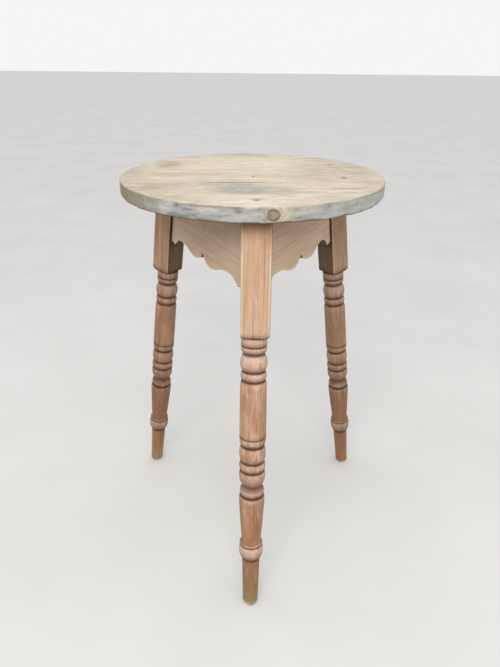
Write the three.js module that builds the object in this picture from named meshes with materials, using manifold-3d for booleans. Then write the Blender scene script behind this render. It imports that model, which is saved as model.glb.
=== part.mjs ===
// Cricket table: a round two-board pine top on three splayed, turned legs joined by three
// shaped aprons. Millimetres, +Z up. The origin is on the floor, in the middle of the
// space that the table takes up. The front leg points along -Y.

import * as THREE from 'three';
import { mergeVertices } from 'three/addons/utils/BufferGeometryUtils.js';
import Module from 'manifold-3d';

const wasm = await Module();
wasm.setup();

// Overall sizes
const tableHeight = 724;
const topDiameter = 442;
const topThickness = 25;
const legInset = 54.5; // from the edge of the top in to a leg's axis, at the underside of the top
const footSplay = 101.5; // how much further out that axis meets the floor

// Fits and cuts
const gap = 0.3; // left between pieces that touch
const overrun = 4; // how far a cutting body runs past what it cuts

// Top
const boardTurn = 2; // degrees between the joint of the two boards and the X axis
const jointSetback = 67; // from the middle of the top to that joint, towards the front leg
const topArris = 1.6; // worn edge of the top
const topAcrossShare = 0.978; // its diameter across the grain, where it has shrunk, against that along it
const topSides = 96;
const arrisSteps = 3;

// Legs
const legWidth = 45; // across the square part, with the turning's axis in the middle
const turningWidth = 44; // what the diameters of the turning are shares of
const legPlaned = 3.8; // taken off the inner face of the square, where the aprons meet it
const legArris = 2.6; // worn edges of the square
const squareLength = 183.5; // from the underside of the top to the shoulder, along the axis
const shoulderRadius = 27; // the corners of the shoulder are turned off from here
const shoulderSlope = 9; // and run out this much further up
const legSides = 20;

// Each leg was turned, jointed and fitted by hand, so each has its own small errors.
// Angles are in degrees, about the middle of the table or about the leg's own axis. The nail
// of a leg stands nailEdge in from its outer face, and to one side by nailSwing.
const legs = [
  {
    name: 'leg_front', azimuth: -89.8, topSwing: 1.1, footSwing: 0.1, twist: -5, offsetShare: 0.045,
    nailEdge: 8, nailSwing: 0,
  },
  {
    name: 'leg_back_right', azimuth: 30.2, topSwing: 0.5, footSwing: -0.9, twist: 5, offsetShare: 0,
    nailEdge: 15.5, nailSwing: 3.2,
  },
  {
    name: 'leg_back_left', azimuth: 150.2, topSwing: 0.1, footSwing: -0.8, twist: -6, offsetShare: 0,
    nailEdge: 15.5, nailSwing: 0,
  },
];

// The turning, from the floor up to the shoulder of the square. Each row ends a run:
// its height as a share of the turned length, its diameter as a share of the turning's width,
// and how far the run swells out (+) or hollows in (-), as a share of that width.
const turningShares = [
  [0.000, 0.520, 0],
  [0.0115, 0.630, 0.020],
  [0.168, 0.718, 0],
  [0.197, 0.750, 0],
  // Ankle ring and its fillet
  [0.199, 0.830, 0],
  [0.223, 0.980, 0.012],
  [0.246, 0.895, 0.024],
  [0.248, 0.860, 0],
  [0.250, 0.915, 0],
  [0.257, 0.895, 0],
  [0.260, 0.840, 0],
  [0.273, 0.780, 0],
  // Taper up to the fillet below the cap
  [0.429, 1.012, 0.010],
  [0.439, 1.010, 0],
  [0.446, 0.910, 0],
  [0.450, 0.930, 0],
  // Cap, neck and vase
  [0.472, 1.000, 0.033],
  [0.488, 0.765, -0.007],
  [0.495, 0.810, -0.007],
  [0.520, 1.012, 0.021],
  [0.537, 0.975, 0.010],
  [0.541, 0.905, 0],
  [0.545, 0.945, 0],
  // Ring and bead
  [0.570, 0.945, 0.040],
  [0.574, 0.885, 0],
  [0.578, 0.940, 0],
  [0.625, 0.955, 0.036],
  [0.631, 0.850, 0],
  [0.636, 0.895, 0],
  // Quarter round, scribed line and column
  [0.652, 1.000, 0.021],
  [0.663, 1.015, 0],
  [0.665, 0.992, 0],
  [0.667, 1.015, 0],
  [0.736, 1.005, 0],
  [0.828, 0.988, 0],
  [0.852, 0.930, 0.012],
  [0.857, 0.880, 0],
  [0.861, 0.915, 0],
  // Small ring and ball
  [0.884, 0.915, 0.024],
  [0.889, 0.875, 0],
  [0.893, 0.905, 0],
  [0.937, 0.865, 0.053],
  [0.946, 0.830, 0],
  [0.951, 0.860, 0],
  // Collar with its scribed line
  [0.959, 0.943, 0.012],
  [0.973, 0.953, 0],
  [0.975, 0.930, 0],
  [0.977, 0.953, 0],
  [1.000, 0.950, 0],
];
const swellSteps = 3;

// Aprons
const apronReveal = 3.2; // from a leg's side to an apron's outer face, along the leg's inner face
const apronThickness = 12.7;
const apronDepth = 117;
// Lower edge of half an apron, from its middle to the leg: along it as a share of the half
// span, down it as a share of the depth, and the swell of the run, as a share of the depth.
const apronEdgeShares = [
  [0.000, 0.876, 0],
  [0.245, 0.990, 0.030],
  [0.450, 0.925, 0.012],
  [0.605, 0.885, -0.006],
  [0.875, 1.000, -0.058],
];
const edgeSteps = 5;
const tenonThickness = 6.5;
const tenonInset = 3; // from the outer face of the apron to the tenon
const tenonMeet = 1.2; // how far the tenons of two aprons run on from where they meet
const tenonTop = 20; // shoulders above and below the tenon
const tenonBottom = 24;

// Glue blocks in the angle between the aprons and the top
const blockLength = 62;
const blockSize = 19;
const blockChamfer = 8;
const blockSetback = 43.5; // from the leg to the block

// Nails through the top into the legs
const nailLength = 62;
const nailShank = 4;
const nailHead = 8.5;
const nailHeadDepth = 1.8;
const nailPoint = 9;
const nailSides = 12;

// Worked out from the sizes above
const underside = tableHeight - topThickness;
const outerDepth = legWidth / 2; // from the turning's axis to the outer face of the square
const innerDepth = legWidth / 2 - legPlaned;
const topRadius = topDiameter / 2;
const legRadius = topRadius - legInset; // from the middle of the table to a leg's axis, under the top
const footRadius = legRadius + footSplay; // the same at the floor
const leanSlope = (footRadius - legRadius) / underside;
const lean = Math.atan(leanSlope);
const legPitch = 360 / legs.length;
const halfPitch = THREE.MathUtils.degToRad(legPitch / 2);
const apronTilt = Math.atan(leanSlope * Math.cos(halfPitch));
const legLength = underside / Math.cos(lean);
const turnedLength = legLength - squareLength;
const reach = topDiameter; // size of the bodies that trim a piece to a plane

// Under the top, from the middle of the table to a leg's inner face and an apron's outer face
const innerFace = legRadius - innerDepth / Math.cos(lean);
const revealSetback = (legWidth / 2 - apronReveal) * Math.sin(halfPitch);
const apronSetback = innerFace * Math.cos(halfPitch) + revealSetback;

// How far the tenons go into a leg, past the line where those of two aprons meet
const tenonSetback = revealSetback - tenonInset - tenonThickness + tenonMeet * Math.sin(halfPitch);
const tenonDepth = tenonSetback / Math.cos(halfPitch);

// Materials
const boardWood = { color: 0xd9ccb4, roughness: 0.85, metalness: 0 };
const legWood = { color: 0xc39c7e, roughness: 0.75, metalness: 0 };
const apronWood = { color: 0x93795f, roughness: 0.8, metalness: 0 };
const blockWood = { color: 0xa98a66, roughness: 0.85, metalness: 0 };
const iron = { color: 0x3b322b, roughness: 0.7, metalness: 0.8 };

// A closed geometry as a solid, after an optional move into another frame
function solid(geometry, matrix = new THREE.Matrix4()) {
  const bare = geometry.clone().applyMatrix4(matrix);
  bare.deleteAttribute('normal');
  bare.deleteAttribute('uv');
  const merged = mergeVertices(bare);
  return new wasm.Manifold(new wasm.Mesh({
    numProp: 3,
    vertProperties: new Float32Array(merged.attributes.position.array),
    triVerts: new Uint32Array(merged.index.array),
  }));
}

function geometryOf(body) {
  const cut = body.getMesh();
  const geometry = new THREE.BufferGeometry();
  geometry.setAttribute('position', new THREE.BufferAttribute(cut.vertProperties, 3));
  geometry.setIndex(new THREE.BufferAttribute(cut.triVerts, 1));
  return geometry;
}

// A solid that was made in a frame, as a named mesh in its place
function meshOf(name, body, look, frame) {
  const geometry = geometryOf(body);
  geometry.computeVertexNormals();
  const mesh = new THREE.Mesh(geometry, new THREE.MeshStandardMaterial(look));
  mesh.name = name;
  frame.decompose(mesh.position, mesh.quaternion, mesh.scale);
  return mesh;
}

// A box between two corners
function box(low, high) {
  const size = high.clone().sub(low);
  const middle = low.clone().add(high).divideScalar(2);
  return new THREE.BoxGeometry(size.x, size.y, size.z).translate(middle.x, middle.y, middle.z);
}

// Points of a circular run from one point to another that stands off its chord by swell,
// on the right of the way it goes; the first point is left out
function run(from, to, swell, steps) {
  if (swell === 0) return [to];
  const chord = to.clone().sub(from);
  const half = chord.length() / 2;
  const right = new THREE.Vector2(chord.y, -chord.x).normalize();
  const turn = 4 * Math.atan(swell / half); // angle of the whole arc
  const radius = half / Math.sin(turn / 2);
  const middle = from.clone().add(to).divideScalar(2);
  const centre = middle.addScaledVector(right, -radius * Math.cos(turn / 2));
  const points = [];
  for (let i = 1; i <= steps; i += 1) {
    points.push(from.clone().rotateAround(centre, (turn * i) / steps));
  }
  return points;
}

// A body of revolution about Z from [radius, height] points that start and end on the axis
function revolved(points, sides) {
  return new THREE.LatheGeometry(points, sides).rotateX(Math.PI / 2);
}

// Frame of a leg: its origin is where the axis meets the floor, z runs up the axis and
// x points out through the outer face
function legFrame(leg) {
  const topAngle = THREE.MathUtils.degToRad(leg.azimuth + leg.topSwing);
  const footAngle = THREE.MathUtils.degToRad(leg.azimuth + leg.footSwing);
  const top = new THREE.Vector3(Math.cos(topAngle), Math.sin(topAngle), 0).multiplyScalar(legRadius);
  const foot = new THREE.Vector3(Math.cos(footAngle), Math.sin(footAngle), 0).multiplyScalar(footRadius);
  top.z = underside;
  const axis = top.clone().sub(foot).normalize();
  const middle = (topAngle + footAngle) / 2;
  const outward = new THREE.Vector3(Math.cos(middle), Math.sin(middle), 0);
  outward.addScaledVector(axis, -outward.dot(axis)).normalize();
  outward.applyAxisAngle(axis, THREE.MathUtils.degToRad(leg.twist));
  const across = new THREE.Vector3().crossVectors(axis, outward);
  return new THREE.Matrix4().makeBasis(outward, across, axis).setPosition(foot);
}

// Frame of an apron: x runs along it, y up its outer face and z out of that face. Its origin
// is in the middle of the apron, level with the underside of the top
function apronFrame(azimuth) {
  const angle = THREE.MathUtils.degToRad(azimuth);
  const level = new THREE.Vector3(Math.cos(angle), Math.sin(angle), 0);
  const along = new THREE.Vector3(-level.y, level.x, 0);
  const outward = level.clone().multiplyScalar(Math.cos(apronTilt));
  outward.z = Math.sin(apronTilt);
  const up = new THREE.Vector3().crossVectors(outward, along);
  const origin = level.multiplyScalar(apronSetback);
  origin.z = underside;
  return new THREE.Matrix4().makeBasis(along, up, outward).setPosition(origin);
}

// Matrix that takes shapes from one frame into another
function between(from, to) {
  return to.clone().invert().multiply(from);
}

const world = new THREE.Matrix4();

// Everything above the underside of the top, less the gap
function aboveUnderside() {
  const low = new THREE.Vector3(-reach, -reach, underside - gap);
  return box(low, new THREE.Vector3(reach, reach, underside + reach));
}

function belowFloor() {
  return box(new THREE.Vector3(-reach, -reach, -reach), new THREE.Vector3(reach, reach, 0));
}

// Half the distance between two legs' inner faces, along an apron, this far below the top
function halfSpanAt(drop) {
  const face = innerFace + drop * leanSlope;
  const setback = apronSetback + drop * Math.tan(apronTilt);
  return (face - setback * Math.cos(halfPitch)) / Math.sin(halfPitch);
}

const halfSpan = halfSpanAt(apronDepth);

// The turned part runs a little below the floor, where it is cut off level
function turning() {
  const bottom = turningShares[0][1] * turningWidth / 2;
  const points = [new THREE.Vector2(0, -overrun), new THREE.Vector2(bottom, -overrun)];
  for (const [height, width, swell] of turningShares) {
    const end = new THREE.Vector2((width * turningWidth) / 2, height * turnedLength);
    points.push(...run(points[points.length - 1], end, swell * turningWidth, swellSteps));
  }
  points.push(new THREE.Vector2(points[points.length - 1].x, turnedLength + overrun));
  points.push(new THREE.Vector2(0, turnedLength + overrun));
  return solid(revolved(points, legSides));
}

// The square part, with worn arrises and the corners of its shoulder turned off
function square(offset) {
  const half = legWidth / 2;
  const outline = new THREE.Shape();
  outline.moveTo(outerDepth, offset - half + legArris);
  outline.lineTo(outerDepth, offset + half - legArris);
  outline.lineTo(outerDepth - legArris, offset + half);
  outline.lineTo(legArris - innerDepth, offset + half);
  outline.lineTo(-innerDepth, offset + half - legArris);
  outline.lineTo(-innerDepth, offset - half + legArris);
  outline.lineTo(legArris - innerDepth, offset - half);
  outline.lineTo(outerDepth - legArris, offset - half);
  const length = squareLength + legWidth; // the top is cut off level afterwards
  const bar = new THREE.ExtrudeGeometry(outline, { depth: length, bevelEnabled: false });
  bar.translate(0, 0, turnedLength);
  const wide = shoulderRadius + shoulderSlope;
  const pommel = revolved([
    new THREE.Vector2(0, turnedLength - overrun),
    new THREE.Vector2(shoulderRadius - overrun, turnedLength - overrun),
    new THREE.Vector2(wide, turnedLength + shoulderSlope),
    new THREE.Vector2(wide, turnedLength + length + overrun),
    new THREE.Vector2(0, turnedLength + length + overrun),
  ], legSides);
  return solid(bar).intersect(solid(pommel));
}

// The part of an apron's tenon that lies in one leg, in the leg's frame, grown by a clearance.
// The tenons of two aprons are mitred where they meet, in the middle of the leg.
function tenonIn(leg, apron, clearance) {
  const along = halfSpan + legWidth;
  const low = new THREE.Vector3(-along, tenonBottom - apronDepth, -tenonInset - tenonThickness);
  const high = new THREE.Vector3(along, -tenonTop, -tenonInset);
  const board = box(low.subScalar(clearance), high.addScalar(clearance));
  const side = Math.sign(leg.side(apron));
  const inner = innerDepth + overrun;
  const near = side * (gap / 2 - clearance);
  const far = side * legWidth;
  const room = box(
    new THREE.Vector3(-inner, Math.min(near, far), 0),
    new THREE.Vector3(tenonDepth - innerDepth + clearance, Math.max(near, far), legLength),
  );
  return solid(board, between(apron.frame, leg.frame)).intersect(solid(room));
}

// Nail, head up, from its point at the origin. With a clearance it is the hole for it, which
// is open at the top.
function nailBody(clearance) {
  const shank = nailShank / 2 + clearance;
  const head = nailHead / 2 + clearance;
  const top = clearance > 0 ? nailLength + overrun : nailLength;
  return revolved([
    new THREE.Vector2(0, -clearance),
    new THREE.Vector2(shank, nailPoint - clearance),
    new THREE.Vector2(shank, nailLength - nailHeadDepth - clearance),
    new THREE.Vector2(head, nailLength - clearance),
    new THREE.Vector2(head, top),
    new THREE.Vector2(0, top),
  ], nailSides);
}

const nailRise = tableHeight - nailLength - gap; // the head sits just below the surface

function nailFrame(leg) {
  const angle = THREE.MathUtils.degToRad(leg.azimuth + leg.topSwing + leg.nailSwing);
  const out = legRadius + outerDepth - leg.nailEdge;
  return new THREE.Matrix4().makeTranslation(out * Math.cos(angle), out * Math.sin(angle), nailRise);
}

function makeLeg(leg, aprons) {
  const inLeg = between(world, leg.frame);
  let body = square(leg.offsetShare * legWidth).add(turning());
  body = body.subtract(solid(aboveUnderside(), inLeg)).subtract(solid(belowFloor(), inLeg));
  for (const apron of aprons) {
    if (leg.side(apron) !== 0) body = body.subtract(tenonIn(leg, apron, gap));
  }
  body = body.subtract(solid(nailBody(gap), between(nailFrame(leg), leg.frame)));
  return meshOf(leg.name, body, legWood, leg.frame);
}

// Outline of an apron, with the shaped lower edge mirrored about its middle
function apronOutline() {
  const half = [];
  for (const [along, down, swell] of apronEdgeShares) {
    const end = new THREE.Vector2(along * halfSpan, -down * apronDepth);
    if (half.length === 0) half.push(end);
    else half.push(...run(half[half.length - 1], end, swell * apronDepth, edgeSteps));
  }
  const far = halfSpan + legWidth;
  half.push(new THREE.Vector2(far, -apronDepth), new THREE.Vector2(far, overrun));
  const mirrored = half.slice(1).reverse().map((point) => new THREE.Vector2(-point.x, point.y));
  return new THREE.Shape([...half, ...mirrored]);
}

function makeApron(apron, allLegs) {
  const board = new THREE.ExtrudeGeometry(apronOutline(), { depth: apronThickness, bevelEnabled: false });
  board.translate(0, 0, -apronThickness);
  let body = solid(board).subtract(solid(aboveUnderside(), between(world, apron.frame)));
  const joined = allLegs.filter((leg) => leg.side(apron) !== 0);
  for (const leg of joined) {
    const low = new THREE.Vector3(-innerDepth - gap, -reach, 0);
    const beyond = box(low, new THREE.Vector3(reach, reach, legLength + reach));
    body = body.subtract(solid(beyond, between(leg.frame, apron.frame)));
  }
  for (const leg of joined) {
    const tenon = geometryOf(tenonIn(leg, apron, 0));
    body = body.add(solid(tenon, between(leg.frame, apron.frame)));
  }
  return meshOf(apron.name, body, apronWood, apron.frame);
}

// A glue block lies against the inner face of its apron and under the top
function makeBlock(name, apron, side) {
  const outline = new THREE.Shape();
  outline.moveTo(0, overrun);
  outline.lineTo(0, -blockSize);
  outline.lineTo(blockSize - blockChamfer, -blockSize);
  outline.lineTo(blockSize, blockChamfer - blockSize);
  outline.lineTo(blockSize, overrun);
  const bar = new THREE.ExtrudeGeometry(outline, { depth: blockLength, bevelEnabled: false });
  bar.rotateY(Math.PI / 2);
  const place = side * (halfSpan - blockSetback - blockLength / 2);
  bar.translate(place - blockLength / 2, 0, -apronThickness - gap);
  const body = solid(bar).subtract(solid(aboveUnderside(), between(world, apron.frame)));
  return meshOf(name, body, blockWood, apron.frame);
}

// The whole top, with worn arrises
function disc() {
  const points = [new THREE.Vector2(0, underside)];
  points.push(new THREE.Vector2(topRadius - topArris, underside));
  points.push(new THREE.Vector2(topRadius, underside + topArris));
  points.push(new THREE.Vector2(topRadius, tableHeight - topArris));
  for (let i = 1; i <= arrisSteps; i += 1) {
    const angle = (Math.PI / 2) * (i / arrisSteps);
    const x = topRadius - topArris * (1 - Math.cos(angle));
    points.push(new THREE.Vector2(x, tableHeight - topArris * (1 - Math.sin(angle))));
  }
  points.push(new THREE.Vector2(0, tableHeight));
  const round = revolved(points, topSides).scale(1, topAcrossShare, 1);
  return solid(round.rotateZ(THREE.MathUtils.degToRad(boardTurn)));
}

// One board of the top: the part of the disc on one side of the joint
function makeBoard(name, side) {
  const edge = -jointSetback + (side * gap) / 2;
  const far = edge + side * reach;
  const cut = box(
    new THREE.Vector3(-reach, Math.min(edge, far), 0),
    new THREE.Vector3(reach, Math.max(edge, far), tableHeight + reach),
  );
  cut.rotateZ(THREE.MathUtils.degToRad(boardTurn));
  let body = disc().intersect(solid(cut));
  for (const leg of legs) body = body.subtract(solid(nailBody(gap), nailFrame(leg)));
  return meshOf(name, body, boardWood, world);
}

const aprons = [
  { name: 'apron_left', azimuth: 210.2 },
  { name: 'apron_right', azimuth: -29.8 },
  { name: 'apron_back', azimuth: 90.2 },
];
for (const apron of aprons) apron.frame = apronFrame(apron.azimuth);

// Which side of a leg an apron meets: +1, -1, or 0 where it doesn't reach that leg
for (const leg of legs) {
  leg.frame = legFrame(leg);
  leg.side = (apron) => {
    const turn = THREE.MathUtils.euclideanModulo(apron.azimuth - leg.azimuth + 180, 360) - 180;
    return Math.abs(turn) < legPitch ? Math.sign(turn) : 0;
  };
}

const table = new THREE.Group();
table.add(makeBoard('top_board_front', -1), makeBoard('top_board_back', 1));
for (const leg of legs) table.add(makeLeg(leg, aprons));
for (const apron of aprons) {
  const place = apron.name.replace('apron_', '');
  table.add(makeApron(apron, legs));
  table.add(makeBlock(`glue_block_${place}_1`, apron, -1));
  table.add(makeBlock(`glue_block_${place}_2`, apron, 1));
}
for (const leg of legs) {
  const name = leg.name.replace('leg_', 'nail_');
  table.add(meshOf(name, solid(nailBody(0)), iron, nailFrame(leg)));
}

// The origin goes to the middle of the space that the table takes up
const bounds = new THREE.Box3().setFromObject(table, true);
const middle = bounds.getCenter(new THREE.Vector3());
for (const mesh of table.children) mesh.position.sub(new THREE.Vector3(middle.x, middle.y, 0));

export default table;
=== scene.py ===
"""Cricket table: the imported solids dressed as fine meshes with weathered, stripped pine.

Metres, in the frame of the solids: +Z up, the front leg towards -Y, the origin on the floor.
"""
import math

import bmesh
import bpy
import numpy as np
from mathutils import Matrix, Vector, noise


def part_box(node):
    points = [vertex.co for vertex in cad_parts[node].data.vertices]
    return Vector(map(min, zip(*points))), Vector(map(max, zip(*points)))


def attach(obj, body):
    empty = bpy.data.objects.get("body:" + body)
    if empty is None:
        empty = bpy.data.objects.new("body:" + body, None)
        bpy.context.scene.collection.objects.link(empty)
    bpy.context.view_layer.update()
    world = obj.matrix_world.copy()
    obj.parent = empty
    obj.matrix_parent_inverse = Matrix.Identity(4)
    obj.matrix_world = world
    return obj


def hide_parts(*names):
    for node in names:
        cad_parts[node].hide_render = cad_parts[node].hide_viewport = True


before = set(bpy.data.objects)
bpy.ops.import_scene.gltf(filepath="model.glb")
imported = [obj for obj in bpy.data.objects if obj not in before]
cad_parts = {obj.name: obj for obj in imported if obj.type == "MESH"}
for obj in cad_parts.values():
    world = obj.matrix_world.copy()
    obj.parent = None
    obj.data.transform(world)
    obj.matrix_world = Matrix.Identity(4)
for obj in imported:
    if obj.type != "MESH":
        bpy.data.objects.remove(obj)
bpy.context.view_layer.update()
MM = 0.001
GAP = 0.3 * MM
UNEVEN = 0.12 * MM  # how far hand work and age leave a surface uneven

# The top, as the solids hold it
TOP_LOW = np.minimum(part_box("top_board_front")[0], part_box("top_board_back")[0])
TOP_HIGH = np.maximum(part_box("top_board_front")[1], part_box("top_board_back")[1])
TOP_RADIUS = (TOP_HIGH[0] - TOP_LOW[0]) / 2
TOP_ACROSS_SHARE = 0.978  # it has shrunk across its grain
TABLE_AXIS = np.array([(TOP_LOW[0] + TOP_HIGH[0]) / 2, (TOP_LOW[1] + TOP_HIGH[1]) / 2, 0.0])
TABLE_HEIGHT = TOP_HIGH[2]
UNDERSIDE = TOP_LOW[2]
THICKNESS = TABLE_HEIGHT - UNDERSIDE

# Splay of the legs
FOOT_RADIUS = 268 * MM
LEG_RADIUS = 166.5 * MM
LEAN_SLOPE = (FOOT_RADIUS - LEG_RADIUS) / UNDERSIDE
LEAN = math.atan(LEAN_SLOPE)

# Legs
LEG_WIDTH = 45 * MM
TURNING_WIDTH = 44 * MM
LEG_PLANED = 3.8 * MM
OUTER_DEPTH = LEG_WIDTH / 2
INNER_DEPTH = LEG_WIDTH / 2 - LEG_PLANED
LEG_ARRIS = 2.3 * MM
SQUARE_LENGTH = 183.5 * MM
SHOULDER_RADIUS = 27 * MM
LEG_LENGTH = UNDERSIDE / math.cos(LEAN)
TURNED_LENGTH = LEG_LENGTH - SQUARE_LENGTH
# Angles are in degrees. A leg's nail stands nail_edge in from its outer face, in mm, and to one
# side by nail_swing. Then come how dirty the nail's edge is; light, a painted shade on all the wood
# of the rear legs, which stand in the shade of the top, with a little dirt; how chalky the wood is;
# how light its foot is, painted light that lifts the rear feet back out of that shade; what stains
# it, and where the pith lies.
LEGS = [
    dict(
        name="leg_front", azimuth=-89.8, top_swing=1.1, foot_swing=0.1, twist=-5, offset_share=0.045,
        nail_edge=8, nail_swing=0, nail_dirt=0.34, light=1.0, chalk=1.0, foot_painted_light=0.95,
        foot=(0.255, 0.255, 0.105), pith=(0.36, 0.2, 0.0),
    ),
    dict(
        name="leg_back_right", azimuth=30.2, top_swing=0.5, foot_swing=-0.9, twist=5, offset_share=0,
        nail_edge=15.5, nail_swing=3.2, nail_dirt=0.26, light=0.76, chalk=0.74, foot_painted_light=1.08,
        foot=(0.4, 0.13, 0.085), pith=(0.58, 0.39, 0.0),
    ),
    dict(
        name="leg_back_left", azimuth=150.2, top_swing=0.1, foot_swing=-0.8, twist=-6, offset_share=0,
        nail_edge=15.5, nail_swing=0, nail_dirt=0.05, light=0.78, chalk=0.58, foot_painted_light=1.22,
        foot=(0.38, 0.26, 0.16), pith=(0.95, 0.45, 0.0),
    ),
]

# The turning: height as a share of the turned length, diameter and swell as shares of its width
TURNING_SHARES = [
    (0.0, 0.38, 0), (0.0115, 0.622, 0.045), (0.168, 0.718, 0), (0.2005, 0.738, 0),
    # Ankle ring and the fillet on it
    (0.2015, 0.84, 0), (0.224, 0.97, 0.02), (0.249, 0.925, 0.014), (0.2515, 0.855, 0),
    (0.2535, 0.925, 0), (0.2575, 0.925, 0), (0.2605, 0.805, 0), (0.273, 0.785, 0),
    # Taper up to the fillet below the cap
    (0.429, 1.012, 0.01), (0.4415, 1.005, 0), (0.446, 0.815, 0), (0.449, 0.865, 0),
    # Cap, neck and vase
    (0.4735, 0.88, 0.043), (0.48, 0.73, -0.006), (0.489, 0.79, -0.007), (0.516, 1.01, 0.026),
    (0.537, 0.975, 0.012), (0.5405, 0.865, 0), (0.545, 0.94, 0),
    # Ring and bead
    (0.5705, 0.94, 0.044), (0.574, 0.845, 0), (0.578, 0.93, 0), (0.6255, 0.95, 0.04),
    (0.6305, 0.815, 0), (0.635, 0.885, 0),
    # Quarter round, scribed line and column
    (0.652, 1.0, 0.024), (0.6605, 1.015, 0), (0.6625, 0.955, 0), (0.6645, 1.015, 0),
    (0.736, 1.005, 0), (0.828, 0.988, 0), (0.852, 0.93, 0.014), (0.8565, 0.835, 0), (0.861, 0.905, 0),
    # Small ring and ball
    (0.883, 0.905, 0.03), (0.888, 0.825, 0), (0.8925, 0.895, 0), (0.9365, 0.865, 0.06),
    (0.945, 0.79, 0), (0.9495, 0.86, 0),
    # Collar over a small bead
    (0.9655, 0.93, 0.026), (0.9695, 0.895, 0), (0.9715, 0.95, 0), (1.0, 0.95, 0),
]
# Grooves darkened by dirt and by painted shade, the first a painted shadow under the ankle ring:
# height as a share, how many times the usual reach it goes, and its strength
GROOVES = [
    (0.1965, 2.0, 1.0), (0.2515, 0.9, 0.9), (0.2605, 0.6, 0.3), (0.4465, 1.4, 1.0), (0.482, 4.0, 0.65),
    (0.5405, 1.1, 1.0), (0.574, 1.1, 1.0), (0.6305, 1.1, 1.0), (0.6625, 0.7, 0.9), (0.8565, 1.2, 1.0),
    (0.888, 1.2, 1.0), (0.945, 1.2, 1.0), (0.9695, 0.9, 1.0), (1.0, 1.0, 1.0),
]
GROOVE_REACH = 1.85 * MM
# How strong the painted shade on the underside of a bead is, against its groove's
UNDER_BEAD_SHADE = 0.62
# How chalky the surface is, and how light the wood under it, against the height as a share; the
# last stops of the second darken the head under the top as a painted shadow
CHALK = [
    (0.0, 1.15), (0.007, 0.85), (0.016, 0.2), (0.03, 0.12), (0.19, 0.16), (0.2, 0.85), (0.255, 0.95),
    (0.262, 0.2), (0.35, 0.12), (0.425, 0.3), (0.436, 0.4), (0.442, 1.1), (0.456, 0.8), (0.474, 0.95),
    (0.48, 0.3), (0.495, 0.55), (0.52, 0.8), (0.545, 0.75), (0.57, 0.62), (0.6, 0.5), (0.66, 0.55),
    (0.67, 0.4), (0.72, 0.28), (0.8, 0.3), (0.845, 0.55), (0.87, 0.84), (0.92, 0.96), (0.96, 1.0),
    (0.985, 0.98), (1.003, 0.8), (1.03, 0.5), (1.1, 0.25), (1.3, 0.12),
]
TONE_AND_HEAD_SHADE = [
    (0.0, 0.0), (0.19, 0.08), (0.2, 0.6), (0.255, 0.55), (0.27, 0.3), (0.42, 0.42), (0.5, 0.62),
    (0.65, 0.66), (0.84, 0.7), (1.0, 0.8), (1.04, 1.0), (1.26, 0.95), (1.31, 0.75), (1.36, 0.5),
]

# Aprons
HALF_PITCH = math.radians(60)
APRON_REVEAL = 3.2 * MM
INNER_FACE = LEG_RADIUS - INNER_DEPTH / math.cos(LEAN)
APRON_SETBACK = (
    INNER_FACE * math.cos(HALF_PITCH) + (LEG_WIDTH / 2 - APRON_REVEAL) * math.sin(HALF_PITCH)
)
APRON_TILT = math.atan(LEAN_SLOPE * math.cos(HALF_PITCH))
APRON_THICKNESS = 12.7 * MM
APRON_DEPTH = 117 * MM
APRON_ARRIS = 0.9 * MM
# Knots: x, y and radius on the outer face, in mm from the middle of the apron's upper edge
# light scales the tones of an apron's wood: painted light, most on the right apron
APRONS = [
    dict(name="apron_left", azimuth=210.2, edges=("rear_left", "front"), knots=[(1, -52, 3.2)], light=1.04),
    dict(name="apron_right", azimuth=-29.8, edges=("front", "rear_right"), knots=[], light=1.24),
    dict(name="apron_back", azimuth=90.2, edges=("rear_left", "rear_left"), knots=[], light=1.0),
]
# Lower edge of half an apron from the notch in its middle: share of the half span, share of the
# depth, swell as a share of the depth. The halves beside the front leg and the rear legs differ.
APRON_EDGE_SHARES = {
    "front": [
        (0.052, 0.926, 0), (0.245, 1.0, 0.022), (0.445, 0.935, 0.012), (0.7, 0.893, -0.009),
        (0.945, 1.0, -0.027),
    ],
    "rear_left": [
        (0.055, 0.926, 0), (0.255, 0.985, 0.014), (0.455, 0.922, 0.01), (0.61, 0.893, -0.006),
        (0.862, 1.0, -0.054),
    ],
    "rear_right": [
        (0.055, 0.926, 0), (0.33, 0.998, 0.024), (0.47, 0.935, 0.01), (0.6, 0.874, -0.004),
        (0.88, 1.0, -0.07),
    ],
}
NOTCH_TOP = 0.867 * APRON_DEPTH
NOTCH_HALF = 7.3 * MM
TOOTH_RISE_SHARE = 0.034  # past the last arch the edge rises this share of the depth to the leg

# Nails through the top
NAIL_HEAD = 4.25 * MM
NAIL_SHANK = 2 * MM
NAIL_LENGTH = 62 * MM
NAIL_SINK = 0.7 * MM


def smoothstep(low, high, value):
    t = np.clip((np.asarray(value) - low) / (high - low), 0, 1)
    return t * t * (3 - 2 * t)


def fade(low, high, length):
    """A smooth step between two lengths given in mm."""
    return smoothstep(low * MM, high * MM, length)


def wobble(points, scale, seed):
    """Smooth noise between about -1 and 1 at each point."""
    offset = Vector((seed * 7.3, seed * 3.1, seed * 5.7))
    return np.array([noise.noise(Vector(p) * scale + offset) for p in points])


def wobble_along(x, step, seed):
    """The same along one direction."""
    return wobble(np.stack([x / step, 0 * x, 0 * x], 1), 1.0, seed)


def run(start, end, swell, steps):
    """Points of an arc from start to end that stands off its chord by swell, without the first point."""
    start, end = np.array(start), np.array(end)
    if swell == 0:
        return [end]
    chord = end - start
    half = np.linalg.norm(chord) / 2
    right = np.array([chord[1], -chord[0]]) / (2 * half)
    turn = 4 * math.atan(swell / half)
    centre = (start + end) / 2 - right * (half / math.tan(turn / 2))
    points = []
    for i in range(1, steps + 1):
        c, s = math.cos(turn * i / steps), math.sin(turn * i / steps)
        x, y = start - centre
        points.append(centre + np.array([c * x - s * y, s * x + c * y]))
    return points


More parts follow.
